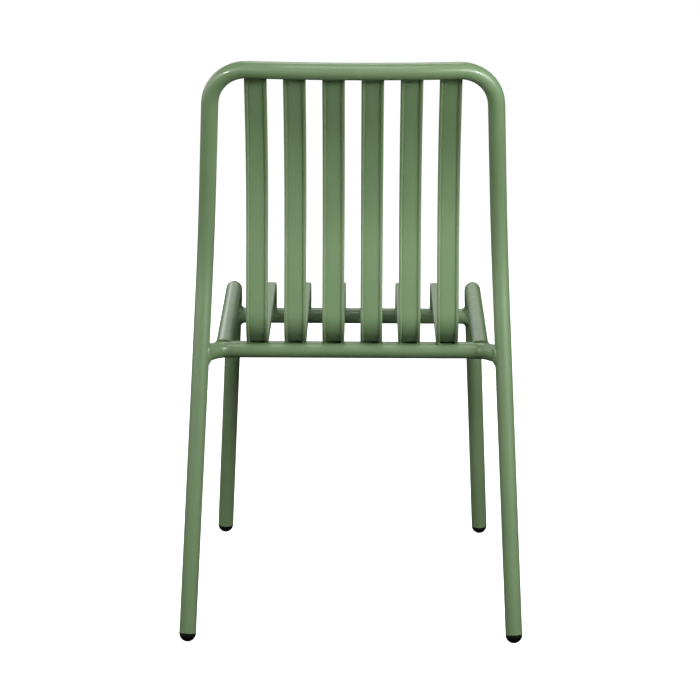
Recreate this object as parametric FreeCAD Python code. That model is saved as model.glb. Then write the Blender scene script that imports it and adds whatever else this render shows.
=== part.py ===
import FreeCAD, Part
import math
import os

V = FreeCAD.Vector

# Stacking chair in millimetres. The feet stand on Z = 0 with +Z up, the seat
# opens towards -Y, and the origin is on the floor under the middle of the chair.
# Left and right are as seen from the front, so right is +X.
# Depths are written as "ahead": positive towards the front of the seat, with
# zero on the axes of the rear legs at seat height.

# ---------------------------------------------------------------- tubes
TUBE_R = 12.7
WALL = 2.0

# ---------------------------------------------------------------- rear hoop
FOOT_HALF_WIDTH = 245.3     # axis of a rear leg at the floor
HOOP_TAPER = 0.0448         # the legs close in by this much per mm of height
JOINT_Z = 422.0             # height of the rear cross tube
LEG_SLOPE = 0.200           # the rear legs lean forwards going up
UPRIGHT_SLOPE = -0.252      # the uprights lean back going up
HIP_Z = 594.0               # height where those two straight runs would cross
HIP_R = 381.0
TOP_Z = 856.0               # axis of the top rail
CORNER_R = 60.0
BOW_R = 685.0               # the top rail is bowed to the rear

# ---------------------------------------------------------------- side frames
# half width, ahead and height of the points on the tube axis
SIDE_REAR = (193.8, 37.0, 424.5)
SIDE_CORNER = (194.6, 437.0, 442.6)
SIDE_FOOT = (215.8, 491.0, 0.0)
KNEE_R = 50.0

# ---------------------------------------------------------------- cross tubes
REAR_TUBE_AHEAD = 39.0
REAR_TUBE_CORNER = 198.6    # half width where its ends turn back to the legs
REAR_TUBE_BEND_R = 30.0
FRONT_TUBE_Z = 386.0
BUTT_GAP = 2.5              # a butted tube stops this far short of the other axis

# ---------------------------------------------------------------- slats
SLAT_COUNT = 6
SLAT_PITCH = 57.0
SLAT_W = 33.0
SLAT_T = 8.0
SLAT_EDGE_R = 2.6           # rounding of the edges of the sitting face
RIB_R = 2.5                 # half-round ribs along both edges of the back face
BACK_LOW_Z = 487.0          # a point of the back face above the seat bend
BACK_LOW_AHEAD = 4.0
BACK_SLOPE = 0.180
LUMBAR_Z = 690.0            # height where the two runs of the back would cross
LUMBAR_R = 300.0
SEAT_UNDER_Z = 430.6        # rib line of the underside, which is notched over the rear cross tube
SEAT_RISE = 0.0178          # the seat rises towards the front
SEAT_BEND_R = 45.0
FRONT_FACE_AHEAD = 439.3    # back face of the turned-down front ends
FRONT_BEND_R = 14.0
LAP = 11.0                  # back face of a slat ahead of the axis of the top rail
LAP_RISE = 5.0              # a slat ends this far above the axis of the top rail

# ---------------------------------------------------------------- feet and welds
FOOT_FLAT = 0.4             # depth of the flat on the round foot
PLUG_COLLAR = 0.6
PLUG_SPIGOT_R = 10.4
PLUG_SPIGOT = 22.0
REAR_WELD_REACH = 8.5       # the hollow welds reach this far along each tube
FRONT_WELD_REACH = 6.0
WELD_SINK = 0.2             # their edges start this far below the tube surfaces
WELD_ROOT = 2.2
WELD_SECTIONS = 28
RAIL_WELD_LEG = 2.8         # the plain weld at the rear end of a side rail
RAIL_WELD_ROUND = 2.2
SLAT_WELD_R = 2.3
SLAT_WELD_LENGTH = 22.0
TACK_R = 1.6
TACK_LENGTH = 5.0

FOOT_CENTRE_Z = TUBE_R - FOOT_FLAT
FRONT_LEG_SLOPE = (SIDE_FOOT[1] - SIDE_CORNER[1]) / SIDE_CORNER[2]
FRONT_FOOT_AHEAD = SIDE_FOOT[1] - FRONT_LEG_SLOPE * FOOT_CENTRE_Z
REAR_FOOT_AHEAD = LEG_SLOPE * (FOOT_CENTRE_Z - JOINT_Z)
MID_AHEAD = (FRONT_FOOT_AHEAD + REAR_FOOT_AHEAD) / 2.0


# ---------------------------------------------------------------- general shapes
def place(side, ahead, up):
    """A point given by half width, distance ahead and height."""
    return V(side, MID_AHEAD - ahead, up)


def toward(start, end):
    """Unit vector from one point to another."""
    return (end - start).normalize()


def fillet_points(start, corner, end, radius):
    """Start, middle and end of the arc that rounds the corner of two lines."""
    before = toward(corner, start)
    after = toward(corner, end)
    half = before.getAngle(after) / 2.0
    reach = radius / math.tan(half)
    rise = radius / math.sin(half) - radius
    middle = corner + (before + after).normalize() * rise
    return corner + before * reach, middle, corner + after * reach


def rounded_path(points, radii):
    """Edges of a run of straight lines with rounded corners."""
    edges = []
    here = points[0]
    for i, radius in enumerate(radii):
        first, middle, last = fillet_points(points[i], points[i + 1], points[i + 2], radius)
        edges.append(Part.LineSegment(here, first).toShape())
        edges.append(Part.Arc(first, middle, last).toShape())
        here = last
    edges.append(Part.LineSegment(here, points[-1]).toShape())
    return edges


def sweep_round(edges, radius):
    """Round solid bar along a chain of tangent edges."""
    first = edges[0]
    start = first.valueAt(first.FirstParameter)
    along = first.tangentAt(first.FirstParameter)
    ring = Part.Wire([Part.makeCircle(radius, start, along)])
    shell = Part.BRepOffsetAPI.MakePipeShell(Part.Wire(edges))
    shell.add(ring, False, False)
    shell.build()
    shell.makeSolid()
    return shell.shape()


def hollow(edges):
    """The full bar along some edges, and the tube with its bore taken out."""
    bar = sweep_round(edges, TUBE_R)
    return bar, bar.cut(sweep_round(edges, TUBE_R - WALL))


def largest(shape):
    """The main solid of a shape once the loose ends are trimmed away."""
    return max(shape.Solids, key=lambda solid: solid.Volume)


def mirrored(shape):
    """The same shape on the other side of the chair."""
    return shape.mirror(V(0, 0, 0), V(1, 0, 0))


# ---------------------------------------------------------------- rear hoop
def leg_half_width(up):
    return FOOT_HALF_WIDTH - HOOP_TAPER * up


def leg_ahead(up):
    return LEG_SLOPE * (up - JOINT_Z)


def hoop_points(sign):
    """Foot, hip and top corner of one side of the hoop."""
    hip_ahead = leg_ahead(HIP_Z)
    top_ahead = hip_ahead + UPRIGHT_SLOPE * (TOP_Z - HIP_Z)
    foot = place(sign * leg_half_width(FOOT_CENTRE_Z), leg_ahead(FOOT_CENTRE_Z), FOOT_CENTRE_Z)
    hip = place(sign * leg_half_width(HIP_Z), hip_ahead, HIP_Z)
    top = place(sign * leg_half_width(TOP_Z), top_ahead, TOP_Z)
    return foot, hip, top


def hoop_side(sign, bow_angle):
    """Points of one side of the hoop, from the foot to the end of its top corner."""
    foot, hip, top = hoop_points(sign)
    lead = abs(top.x) * math.tan(bow_angle)
    apex = V(0, top.y + lead, TOP_Z)
    start = foot + toward(foot, hip) * PLUG_COLLAR
    return [start, *fillet_points(foot, hip, top, HIP_R), *fillet_points(hip, top, apex, CORNER_R)]


def hoop_path():
    """Edges from the left foot over the top rail to the right foot, and the bow."""
    bow_angle = math.asin((leg_half_width(TOP_Z) - CORNER_R) / BOW_R)
    a = hoop_side(-1, bow_angle)
    b = hoop_side(1, bow_angle)
    run = b[6].x
    sag = run * math.tan(bow_angle / 2.0)
    middle = V(0, b[6].y + sag, TOP_Z)
    edges = [
        Part.LineSegment(a[0], a[1]).toShape(),
        Part.Arc(a[1], a[2], a[3]).toShape(),
        Part.LineSegment(a[3], a[4]).toShape(),
        Part.Arc(a[4], a[5], a[6]).toShape(),
        Part.Arc(a[6], middle, b[6]).toShape(),
        Part.Arc(b[6], b[5], b[4]).toShape(),
        Part.LineSegment(b[4], b[3]).toShape(),
        Part.Arc(b[3], b[2], b[1]).toShape(),
        Part.LineSegment(b[1], b[0]).toShape(),
    ]
    return edges, middle, run / math.sin(bow_angle)


def top_rail_ahead(middle, radius, side):
    """Distance ahead of the axis of the bowed top rail at a half width."""
    return MID_AHEAD - middle.y + radius - math.sqrt(radius * radius - side * side)


# ---------------------------------------------------------------- foot plugs
def foot_plug(centre, direction):
    """Round foot with a short collar and a spigot up inside the tube."""
    ball = Part.makeSphere(TUBE_R, centre)
    upper = Part.makeCylinder(2 * TUBE_R, 2 * TUBE_R, centre, direction)
    collar = Part.makeCylinder(TUBE_R, PLUG_COLLAR, centre, direction)
    spigot = Part.makeCylinder(PLUG_SPIGOT_R, PLUG_COLLAR + PLUG_SPIGOT, centre, direction)
    floor = Part.makeBox(100, 100, 50, V(centre.x - 50, centre.y - 50, -50))
    return ball.cut(upper).fuse([collar, spigot]).removeSplitter().cut(floor)


# ---------------------------------------------------------------- slats
def back_ahead(up):
    """Distance ahead of the back face of a slat on its lower run."""
    return BACK_LOW_AHEAD + BACK_SLOPE * (up - BACK_LOW_Z)


def under_z(ahead):
    """Height of the underside of the seat."""
    return SEAT_UNDER_Z + SEAT_RISE * (ahead - REAR_TUBE_AHEAD)


def seat_corner():
    """Where the lower run of the back would meet the underside of the seat."""
    ahead = 0.0
    for _ in range(20):
        ahead = back_ahead(under_z(ahead))
    return ahead, under_z(ahead)


def slat_profile(side, start, along):
    """Closed section of a slat, its back face on the path."""
    across = V(1, 0, 0)
    out = along.cross(across).normalize()
    if out.y > 0:
        out = out * -1

    def at(x, n):
        return start + across * x + out * n

    w = SLAT_W / 2.0
    e = SLAT_EDGE_R
    k = e * (1.0 - math.sqrt(0.5))
    t = SLAT_T
    r = RIB_R
    edges = [
        Part.LineSegment(at(-w + 2 * r, r), at(w - 2 * r, r)),
        Part.Arc(at(w - 2 * r, r), at(w - r, 0), at(w, r)),
        Part.LineSegment(at(w, r), at(w, t - e)),
        Part.Arc(at(w, t - e), at(w - k, t - k), at(w - e, t)),
        Part.LineSegment(at(w - e, t), at(-w + e, t)),
        Part.Arc(at(-w + e, t), at(-w + k, t - k), at(-w, t - e)),
        Part.LineSegment(at(-w, t - e), at(-w, r)),
        Part.Arc(at(-w, r), at(-w + r, 0), at(-w + 2 * r, r)),
    ]
    return Part.Wire([edge.toShape() for edge in edges])


def slat(side, rail_ahead):
    """One slat from the top rail to the front cross tube."""
    lumbar_ahead = back_ahead(LUMBAR_Z)
    lap_z = TOP_Z - 3.0
    lean = (rail_ahead + LAP - lumbar_ahead) / (lap_z - LUMBAR_Z)
    end_z = TOP_Z + LAP_RISE
    corner_ahead, corner_z = seat_corner()
    points = [
        place(side, lumbar_ahead + lean * (end_z - LUMBAR_Z), end_z),
        place(side, lumbar_ahead, LUMBAR_Z),
        place(side, corner_ahead, corner_z),
        place(side, FRONT_FACE_AHEAD, under_z(FRONT_FACE_AHEAD)),
        place(side, FRONT_FACE_AHEAD, FRONT_TUBE_Z + 0.8 * TUBE_R),
    ]
    edges = rounded_path(points, [LUMBAR_R, SEAT_BEND_R, FRONT_BEND_R])
    shell = Part.BRepOffsetAPI.MakePipeShell(Part.Wire(edges))
    shell.setBiNormalMode(V(1, 0, 0))
    shell.add(slat_profile(side, points[0], toward(points[0], points[1])), False, False)
    shell.build()
    shell.makeSolid()
    return shell.shape()


# ---------------------------------------------------------------- welds
def weld_section(start, along, foot, line, reach, angle):
    """Closed section of a hollow weld at one angle round the butting tube."""
    side = along.cross(line).normalize()
    radial = side.cross(along) * math.cos(angle) + side * math.sin(angle)

    def off_line(vector):
        return vector - line * vector.dot(line)

    # where a line of the tube, just under its surface, meets the bar
    inner = start + radial * (0.95 * TUBE_R)
    offset = off_line(inner - foot)
    pace = off_line(along)
    b = offset.dot(pace) / pace.dot(pace)
    c = (offset.dot(offset) - TUBE_R * TUBE_R) / pace.dot(pace)
    run = -b - math.sqrt(max(b * b - c, 0.0))
    meet = inner + along * run
    normal = off_line(meet - foot).normalize()

    # the weld is widest where the tubes cross squarely and thins out on the flanks
    spread = radial - normal * radial.dot(normal)
    round_bar = along - normal * along.dot(normal)
    square = spread.Length
    on_tube = start + radial * (TUBE_R - WELD_SINK) + along * (run - reach * (0.55 + 0.45 * square))
    on_bar = meet + spread * reach + round_bar * (0.25 * reach)
    radius = off_line(on_bar - foot)
    on_bar = on_bar - radius * (1.0 - (TUBE_R - WELD_SINK) / radius.Length)
    between = (radial + normal).normalize()
    middle = meet + between * (0.46 * reach * square + 0.5 * (1.0 - square) + 0.35)
    root = meet - between * WELD_ROOT
    return Part.Wire([
        Part.LineSegment(root, on_tube).toShape(),
        Part.Arc(on_tube, middle, on_bar).toShape(),
        Part.LineSegment(on_bar, root).toShape(),
    ])


def hollow_weld(start, end, foot, line, reach, cutters):
    """Concave weld all round a tube that butts against a straight bar."""
    along = toward(start, end)
    upward = V(line).normalize()
    angles = [2.0 * math.pi * (i + 0.5) / WELD_SECTIONS for i in range(WELD_SECTIONS)]
    wires = [weld_section(start, along, foot, upward, reach, angle) for angle in angles]
    return largest(Part.makeLoft(wires, True, False, True).cut(cutters))


def rail_weld(start, end, wide, cutters):
    """Rounded collar where a side rail butts the rear tube; `wide` is that tube made thicker."""
    axis = toward(start, end)
    reach = TUBE_R + RAIL_WELD_LEG
    collar = Part.makeCylinder(reach, (end - start).Length, start, axis)
    bead = largest(collar.common(wide).cut(cutters))
    rim = []
    for edge in bead.Edges:
        middle = edge.valueAt((edge.FirstParameter + edge.LastParameter) / 2.0)
        from_axis = (middle - start).cross(axis).Length
        from_wide = wide.Shells[0].distToShape(Part.Vertex(middle))[0]
        if abs(from_axis - reach) < 0.02 and from_wide < 0.02:
            rim.append(edge)
    return bead.makeFillet(RAIL_WELD_ROUND, rim)


def bar_bead(side, ahead, up, length, radius):
    """Short straight bead across a slat with rounded ends."""
    left = place(side - length / 2.0, ahead, up)
    rod = Part.makeCylinder(radius, length, left, V(1, 0, 0))
    ends = [Part.makeSphere(radius, left), Part.makeSphere(radius, left + V(length, 0, 0))]
    return rod.fuse(ends).removeSplitter()


# ---------------------------------------------------------------- assembly
def build():
    nodes = {}

    edges, rail_middle, rail_radius = hoop_path()
    hoop_bar, hoop = hollow(edges)
    nodes["rear_hoop"] = hoop

    # rear cross tube, its ends turned back to the legs
    leg_axis = place(leg_half_width(JOINT_Z), 0, JOINT_Z)
    corner = place(REAR_TUBE_CORNER, REAR_TUBE_AHEAD, JOINT_Z)
    tip = leg_axis - toward(corner, leg_axis) * BUTT_GAP
    path = rounded_path(
        [V(-tip.x, tip.y, tip.z), V(-corner.x, corner.y, corner.z), corner, tip],
        [REAR_TUBE_BEND_R, REAR_TUBE_BEND_R],
    )
    rear_bar, rear_tube = hollow(path)
    nodes["rear_cross_tube"] = largest(rear_tube.cut(hoop_bar))

    # side frame: seat rail and front leg
    rear = place(*SIDE_REAR)
    knee = place(*SIDE_CORNER)
    floor = place(*SIDE_FOOT)
    down = (floor - knee) * (1.0 / (floor.z - knee.z))
    foot = knee + down * (FOOT_CENTRE_Z - knee.z)
    butt = rear + toward(rear, knee) * BUTT_GAP
    leg_end = foot + toward(foot, knee) * PLUG_COLLAR
    side_path = rounded_path([butt, knee, leg_end], [KNEE_R])
    side_bar, side_tube = hollow(side_path)
    side_right = largest(side_tube.cut(rear_bar))
    nodes["side_frame_right"] = side_right
    nodes["side_frame_left"] = mirrored(side_right)
    side_bar_left = mirrored(side_bar)

    # front cross tube
    front_axis = knee + down * (FRONT_TUBE_Z - knee.z)
    inner = V(front_axis.x - BUTT_GAP, front_axis.y, front_axis.z)
    line = Part.LineSegment(V(-inner.x, inner.y, inner.z), inner).toShape()
    front_bar, front_tube = hollow([line])
    nodes["front_cross_tube"] = largest(front_tube.cut([side_bar, side_bar_left]))

    # slats, and the beads that hold each one
    top_beads = []
    rear_beads = []
    front_beads = []
    top_bar = hoop_bar.common(Part.makeBox(400, 200, 100, place(-200, 100, TOP_Z - 50)))
    for i in range(SLAT_COUNT):
        side = (i - (SLAT_COUNT - 1) / 2.0) * SLAT_PITCH
        rail_ahead = top_rail_ahead(rail_middle, rail_radius, side)
        whole = slat(side, rail_ahead)
        nodes["slat_%d" % (i + 1)] = largest(whole.cut([top_bar, rear_bar, front_bar]))
        for ahead, up in ((rail_ahead + 12.4, TOP_Z - 6.0), (rail_ahead + 9.0, TOP_Z + 8.0)):
            bead = bar_bead(side, ahead, up, SLAT_WELD_LENGTH, SLAT_WELD_R)
            top_beads.append(bead.cut([top_bar, whole]))
        bead = bar_bead(side, REAR_TUBE_AHEAD + 7.0, JOINT_Z + 10.6, SLAT_WELD_LENGTH, SLAT_WELD_R)
        rear_beads.append(bead.cut([rear_bar, whole]))
        for sign in (-1, 1):
            edge = side + sign * (SLAT_W - TACK_LENGTH) / 2.0
            tack = bar_bead(edge, REAR_TUBE_AHEAD - 6.5, JOINT_Z + 11.5, TACK_LENGTH, TACK_R)
            rear_beads.append(tack.cut([rear_bar, whole]))
        middle = FRONT_FACE_AHEAD + SLAT_T / 2.0
        for offset in (-3.2, 5.4):
            bead = bar_bead(side, middle + offset, FRONT_TUBE_Z + 12.0, SLAT_WELD_LENGTH, SLAT_WELD_R)
            front_beads.append(bead.cut([front_bar, whole]))
    nodes["weld_slat_tops"] = Part.makeCompound([largest(b) for b in top_beads])
    nodes["weld_slats_rear"] = Part.makeCompound([largest(b) for b in rear_beads])
    nodes["weld_slats_front"] = Part.makeCompound([largest(b) for b in front_beads])

    # welds of the frame, made on one side and mirrored
    rear_foot, hip, _ = hoop_points(1)
    run = hip - rear_foot
    legs = hollow_weld(corner, leg_axis, rear_foot, run, REAR_WELD_REACH, [hoop_bar, rear_bar])
    wide = sweep_round(path, TUBE_R + RAIL_WELD_LEG)
    start = rear + toward(rear, knee) * 60.0
    rails = rail_weld(start, rear, wide, [rear_bar, side_bar, hoop_bar])
    rails = largest(rails.cut(legs))
    start = V(0, front_axis.y, front_axis.z)
    fronts = hollow_weld(start, front_axis, foot, down, FRONT_WELD_REACH, [side_bar, front_bar])
    nodes["weld_rear_tube_to_legs"] = Part.makeCompound([legs, mirrored(legs)])
    nodes["weld_side_rails"] = Part.makeCompound([rails, mirrored(rails)])
    nodes["weld_front_tube_to_legs"] = Part.makeCompound([fronts, mirrored(fronts)])

    # foot plugs
    rear_plug = foot_plug(rear_foot, toward(rear_foot, hip))
    front_plug = foot_plug(foot, toward(foot, knee))
    nodes["foot_plug_rear_right"] = rear_plug
    nodes["foot_plug_rear_left"] = mirrored(rear_plug)
    nodes["foot_plug_front_right"] = front_plug
    nodes["foot_plug_front_left"] = mirrored(front_plug)
    return nodes


os.makedirs("parts", exist_ok=True)
for name, shape in build().items():
    shape.exportStep("parts/" + name + ".step")
    box = shape.BoundBox
    print(name, len(shape.Solids), shape.isValid(), round(shape.Volume), [round(v, 1) for v in (
        box.XMin, box.XMax, box.YMin, box.YMax, box.ZMin, box.ZMax)])
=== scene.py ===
import math
import bpy
from mathutils import Matrix, Vector

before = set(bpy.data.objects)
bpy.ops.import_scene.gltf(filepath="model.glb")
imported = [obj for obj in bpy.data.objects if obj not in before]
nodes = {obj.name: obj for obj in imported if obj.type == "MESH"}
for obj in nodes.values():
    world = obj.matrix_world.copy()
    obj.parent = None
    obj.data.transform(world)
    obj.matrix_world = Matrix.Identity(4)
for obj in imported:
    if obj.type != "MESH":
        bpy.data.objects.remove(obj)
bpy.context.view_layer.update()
scene = bpy.context.scene


# ---------------------------------------------------------------- dimensions, in metres
STAGE_RADIUS = 30.0
STAGE_SIDES = 64
LIGHT_AIM = Vector((0, 0.12, 0.74))  # middle of the chair's back

# The camera looks at the back of the chair from slightly above; its angles are in radians.
CAMERA_AT = Vector((-0.015, 4.2827, 1.375))
CAMERA_YAW = -0.00446
CAMERA_PITCH = 0.22754
CAMERA_ROLL = 0.004
CAMERA_REACH = 100.0
LENS_MM = 144.0
SENSOR_MM = 36.0

# Soft boxes: name, azimuth and elevation in degrees, distance, width, height, and power in watts.
# Azimuth 0 is straight behind the chair, and positive is to the camera's right.
SOFT_BOXES = (
    ("key_right", 50, 15, 1.8, 1.6, 0.7, 28),
    ("fill_left", -50, 15, 1.8, 1.6, 0.7, 6.5),
    ("side_left", -90, 10, 2.6, 3.2, 1.7, 20),
    ("over_back", 0, 60, 2.2, 1.2, 0.9, 14),
    ("front_wall", 180, 14, 3.0, 3.2, 0.9, 7.5),
    ("front_left", -140, 18, 3.0, 3.4, 1.7, 22),
    ("front_high", 180, 55, 2.4, 1.25, 1.0, 16),
    ("spot_right", 49, 15, 2.46, 0.36, 0.16, 14),
    ("spot_left", -52, 14, 2.47, 0.36, 0.16, 13),
)


# ---------------------------------------------------------------- colours, linear
def linear(*rgb):
    """Linear colour from 0 to 255 display values."""
    return tuple((c / 255.0 / 12.92) if c < 10.3 else ((c / 255.0 + 0.055) / 1.055) ** 2.4 for c in rgb)


def shade(colour, factor):
    """The same colour, lighter or darker."""
    return tuple(min(1.0, c * factor) for c in colour)


GREEN = linear(113, 140, 99)
WORN_GREEN = shade(GREEN, 1.35)
BLACK_LOW = (0.0028, 0.0028, 0.0032)
BLACK_HIGH = (0.0055, 0.0055, 0.006)
PAPER_LOW = (0.86, 0.86, 0.86)
PAPER_HIGH = (0.88, 0.88, 0.88)
WHITE = (1.0, 1.0, 1.0)
AMBIENT = (0.008, 0.008, 0.008)


# ---------------------------------------------------------------- node helpers
class Shader:
    """A Principled material, with short ways to add and link its nodes."""

    def __init__(self, name):
        self.material = bpy.data.materials.new(name)
        self.material.use_nodes = True
        self.tree = self.material.node_tree
        self.tree.nodes.clear()
        self.out = self.add("ShaderNodeOutputMaterial")
        self.bsdf = self.add("ShaderNodeBsdfPrincipled")
        self.link(self.bsdf.outputs["BSDF"], self.out.inputs["Surface"])
        self.place = self.add("ShaderNodeTexCoord").outputs["Object"]

    def add(self, kind, **settings):
        """Add a node and set its properties."""
        node = self.tree.nodes.new(kind)
        for key, value in settings.items():
            setattr(node, key, value)
        return node

    def link(self, output, socket):
        self.tree.links.new(output, socket)

    def fix(self, socket, value):
        """A number or colour that is the same all over the surface."""
        self.bsdf.inputs[socket].default_value = value

    def drive(self, socket, output):
        """A value that varies over the surface."""
        self.link(output, self.bsdf.inputs[socket])

    def noise(self, scale, detail=2.0, rough=0.5):
        """Noise in the object's own coordinates; scale is in cells per metre."""
        node = self.add("ShaderNodeTexNoise")
        node.inputs["Scale"].default_value = scale
        node.inputs["Detail"].default_value = detail
        node.inputs["Roughness"].default_value = rough
        self.link(self.place, node.inputs["Vector"])
        return node.outputs["Fac"]

    def span(self, value, low, high, to_low, to_high):
        """Map a value from one range to another."""
        node = self.add("ShaderNodeMapRange")
        limits = {"From Min": low, "From Max": high, "To Min": to_low, "To Max": to_high}
        for key, number in limits.items():
            node.inputs[key].default_value = number
        self.link(value, node.inputs["Value"])
        return node.outputs["Result"]

    def maths(self, operation, first, second):
        """Arithmetic on two outputs or numbers."""
        node = self.add("ShaderNodeMath", operation=operation)
        for socket, value in zip(node.inputs, (first, second)):
            if isinstance(value, (int, float)):
                socket.default_value = value
            else:
                self.link(value, socket)
        return node.outputs["Value"]

    def ramp(self, value, stops):
        """Colour ramp through (position, colour) stops."""
        node = self.add("ShaderNodeValToRGB")
        points = node.color_ramp.elements
        while len(points) < len(stops):
            points.new(0.5)
        for point, (position, colour) in zip(points, stops):
            point.position = position
            point.color = (*colour, 1.0)
        self.link(value, node.inputs["Fac"])
        return node.outputs["Color"]

    def blend(self, factor, colour, over):
        """A plain colour laid over a colour output, as far as the factor says."""
        node = self.add("ShaderNodeMix", data_type="RGBA")
        self.link(factor, node.inputs["Factor"])
        self.link(colour, node.inputs["A"])
        node.inputs["B"].default_value = (*over, 1.0)
        return node.outputs["Result"]

    def edges(self, radius):
        """1 on edges sharper than the radius, 0 on flat and gently curved faces."""
        soft = self.add("ShaderNodeBevel", samples=6)
        soft.inputs["Radius"].default_value = radius
        flat = self.add("ShaderNodeNewGeometry").outputs["Normal"]
        match = self.add("ShaderNodeVectorMath", operation="DOT_PRODUCT")
        self.link(soft.outputs["Normal"], match.inputs[0])
        self.link(flat, match.inputs[1])
        return self.span(match.outputs["Value"], 0.995, 0.90, 0.0, 1.0)

    def bump(self, height, depth, under=None):
        """Bump of the given depth in metres, on top of another bump if there is one."""
        node = self.add("ShaderNodeBump")
        node.inputs["Strength"].default_value = 1.0
        node.inputs["Distance"].default_value = depth
        self.link(height, node.inputs["Height"])
        if under is not None:
            self.link(under, node.inputs["Normal"])
        return node.outputs["Normal"]


# ---------------------------------------------------------------- materials
EDGE_RADIUS = 0.0012
PEEL_DEPTH = 0.00007
GRAIN_DEPTH = 0.00003
WELD_RIPPLE_DEPTH = 0.0011
FOOT_GRAIN_DEPTH = 0.00006


def powder_coat(name, roughness, peel, weld=False):
    """Satin sage-green powder coat with a fine orange-peel skin, rubbed paler along its edges."""
    s = Shader(name)
    cloud = s.maths("MULTIPLY", s.noise(9.0, 3.0), 0.55)
    grain = s.maths("MULTIPLY", s.noise(900.0, 2.0, 0.6), 0.45)
    stops = [(0.30, shade(GREEN, 0.90)), (0.5, GREEN), (0.70, shade(GREEN, 1.09))]
    colour = s.ramp(s.maths("ADD", cloud, grain), stops)
    patches = s.span(s.noise(70.0, 4.0, 0.6), 0.42, 0.62, 0.0, 1.0)
    rubbed = s.maths("MULTIPLY", s.edges(EDGE_RADIUS), patches)
    s.drive("Base Color", s.blend(s.maths("MULTIPLY", rubbed, 0.5), colour, WORN_GREEN))

    rough = s.span(s.noise(38.0, 3.0), 0.3, 0.7, roughness - 0.05, roughness + 0.05)
    polish = s.maths("MULTIPLY", rubbed, 0.12)
    s.drive("Roughness", s.maths("SUBTRACT", rough, polish))

    skin = s.bump(s.noise(420.0, 3.0, 0.55), PEEL_DEPTH * peel)
    skin = s.bump(s.noise(1500.0, 2.0, 0.6), GRAIN_DEPTH * peel, under=skin)
    if weld:
        skin = s.bump(s.noise(260.0, 1.0, 0.4), WELD_RIPPLE_DEPTH, under=skin)
    s.drive("Normal", skin)
    s.fix("IOR", 1.5)
    s.fix("Coat Weight", 0.5)
    s.fix("Coat Roughness", 0.16)
    return s.material


def foot_plastic(name):
    """Black moulded plastic with a fine spark-eroded grain."""
    s = Shader(name)
    s.drive("Base Color", s.ramp(s.noise(60.0, 3.0), [(0.3, BLACK_LOW), (0.7, BLACK_HIGH)]))
    s.drive("Roughness", s.span(s.noise(140.0, 2.0), 0.3, 0.7, 0.54, 0.68))
    s.drive("Normal", s.bump(s.noise(1400.0, 2.0, 0.6), FOOT_GRAIN_DEPTH))
    s.fix("Specular IOR Level", 0.2)
    return s.material


def floor_paper(name):
    """White studio paper, lit from within so that it stays white right up to the horizon."""
    s = Shader(name)
    s.drive("Base Color", s.ramp(s.noise(2.0, 2.0), [(0.3, PAPER_LOW), (0.7, PAPER_HIGH)]))
    s.fix("Roughness", 0.9)
    s.fix("Specular IOR Level", 0.1)
    s.fix("Emission Color", (*WHITE, 1.0))
    s.fix("Emission Strength", 1.0)
    return s.material


def paint(node, material):
    """Give every slot of a CAD node this material."""
    slots = node.data.materials
    if not slots:
        slots.append(material)
    for i in range(len(slots)):
        slots[i] = material


tube_coat = powder_coat("powder_coat_tube", 0.50, 1.0)
slat_coat = powder_coat("powder_coat_slat", 0.50, 1.0)
weld_coat = powder_coat("powder_coat_weld", 0.42, 1.6, weld=True)
plastic = foot_plastic("foot_plastic")
for name, node in nodes.items():
    if name.startswith("foot_plug"):
        paint(node, plastic)
    elif name.startswith("weld"):
        paint(node, weld_coat)
    elif name.startswith("slat"):
        paint(node, slat_coat)
    else:
        paint(node, tube_coat)


# ---------------------------------------------------------------- floor and backdrop
def stage_ring(height):
    """Points of a level ring round the stage."""
    turns = [2.0 * math.pi * i / STAGE_SIDES for i in range(STAGE_SIDES)]
    return [(STAGE_RADIUS * math.cos(a), STAGE_RADIUS * math.sin(a), height) for a in turns]


def stage_faces():
    """One round floor, and a wall panel on each of its sides."""
    faces = [tuple(range(STAGE_SIDES))]
    for i in range(STAGE_SIDES):
        k = (i + 1) % STAGE_SIDES
        faces.append((k, i, i + STAGE_SIDES, k + STAGE_SIDES))
    return faces


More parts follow.
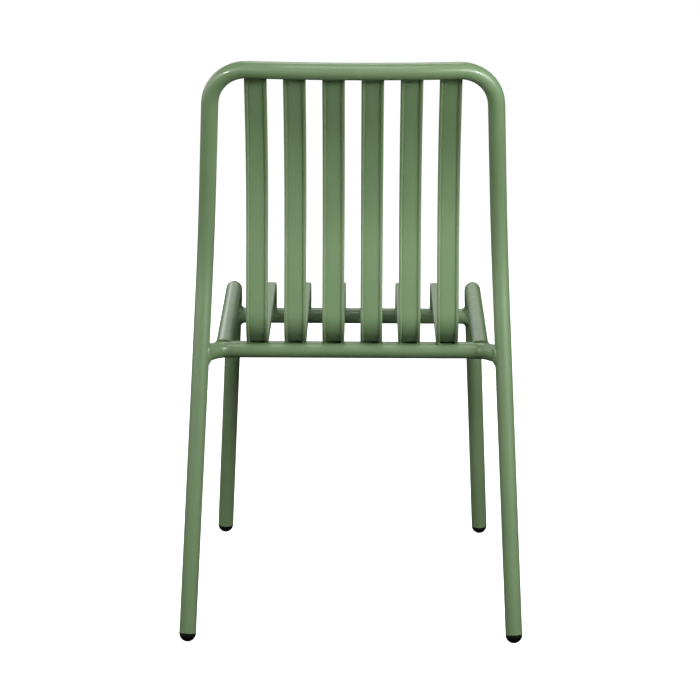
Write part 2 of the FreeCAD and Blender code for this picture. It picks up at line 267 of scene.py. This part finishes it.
mesh = bpy.data.meshes.new("floor")
mesh.from_pydata(stage_ring(0.0) + stage_ring(STAGE_RADIUS), [], stage_faces())
mesh.materials.append(floor_paper("floor_paper"))
floor = bpy.data.objects.new("floor", mesh)
scene.collection.objects.link(floor)
floor.visible_diffuse = False
floor.visible_glossy = False
floor.visible_shadow = False


# ---------------------------------------------------------------- light
def soft_box(name, azimuth, elevation, distance, width, height, watts):
    """Area light aimed at the chair's back, itself out of the camera's sight."""
    az = math.radians(azimuth)
    el = math.radians(elevation)
    away = Vector((-math.sin(az) * math.cos(el), math.cos(az) * math.cos(el), math.sin(el)))
    lamp = bpy.data.lights.new(name, "AREA")
    lamp.shape = "RECTANGLE"
    lamp.size = width
    lamp.size_y = height
    lamp.energy = watts
    item = bpy.data.objects.new(name, lamp)
    scene.collection.objects.link(item)
    item.location = LIGHT_AIM + away * distance
    item.rotation_euler = (-away).to_track_quat("-Z", "Y").to_euler()
    item.visible_camera = False


for box in SOFT_BOXES:
    soft_box(*box)

world = bpy.data.worlds.new("studio")
world.use_nodes = True
world.node_tree.nodes["Background"].inputs["Color"].default_value = (*AMBIENT, 1)
scene.world = world
scene.view_settings.view_transform = "Standard"
scene.view_settings.look = "None"


# ---------------------------------------------------------------- camera
def camera_pose():
    """Turn left or right by the yaw, look down by the pitch, then lean by the roll."""
    heading = Vector((-math.sin(CAMERA_YAW), -math.cos(CAMERA_YAW), 0.0))
    forward = heading * math.cos(CAMERA_PITCH) + Vector((0, 0, -math.sin(CAMERA_PITCH)))
    level = heading.cross(Vector((0, 0, 1))).normalized()
    upright = level.cross(forward).normalized()
    right = level * math.cos(CAMERA_ROLL) + upright * math.sin(CAMERA_ROLL)
    up = upright * math.cos(CAMERA_ROLL) - level * math.sin(CAMERA_ROLL)
    pose = Matrix((right, up, -forward)).transposed().to_4x4()
    pose.translation = CAMERA_AT
    return pose


lens = bpy.data.cameras.new("camera")
lens.lens = LENS_MM
lens.sensor_width = SENSOR_MM
lens.clip_end = CAMERA_REACH
camera = bpy.data.objects.new("camera", lens)
scene.collection.objects.link(camera)
camera.matrix_world = camera_pose()
scene.camera = camera
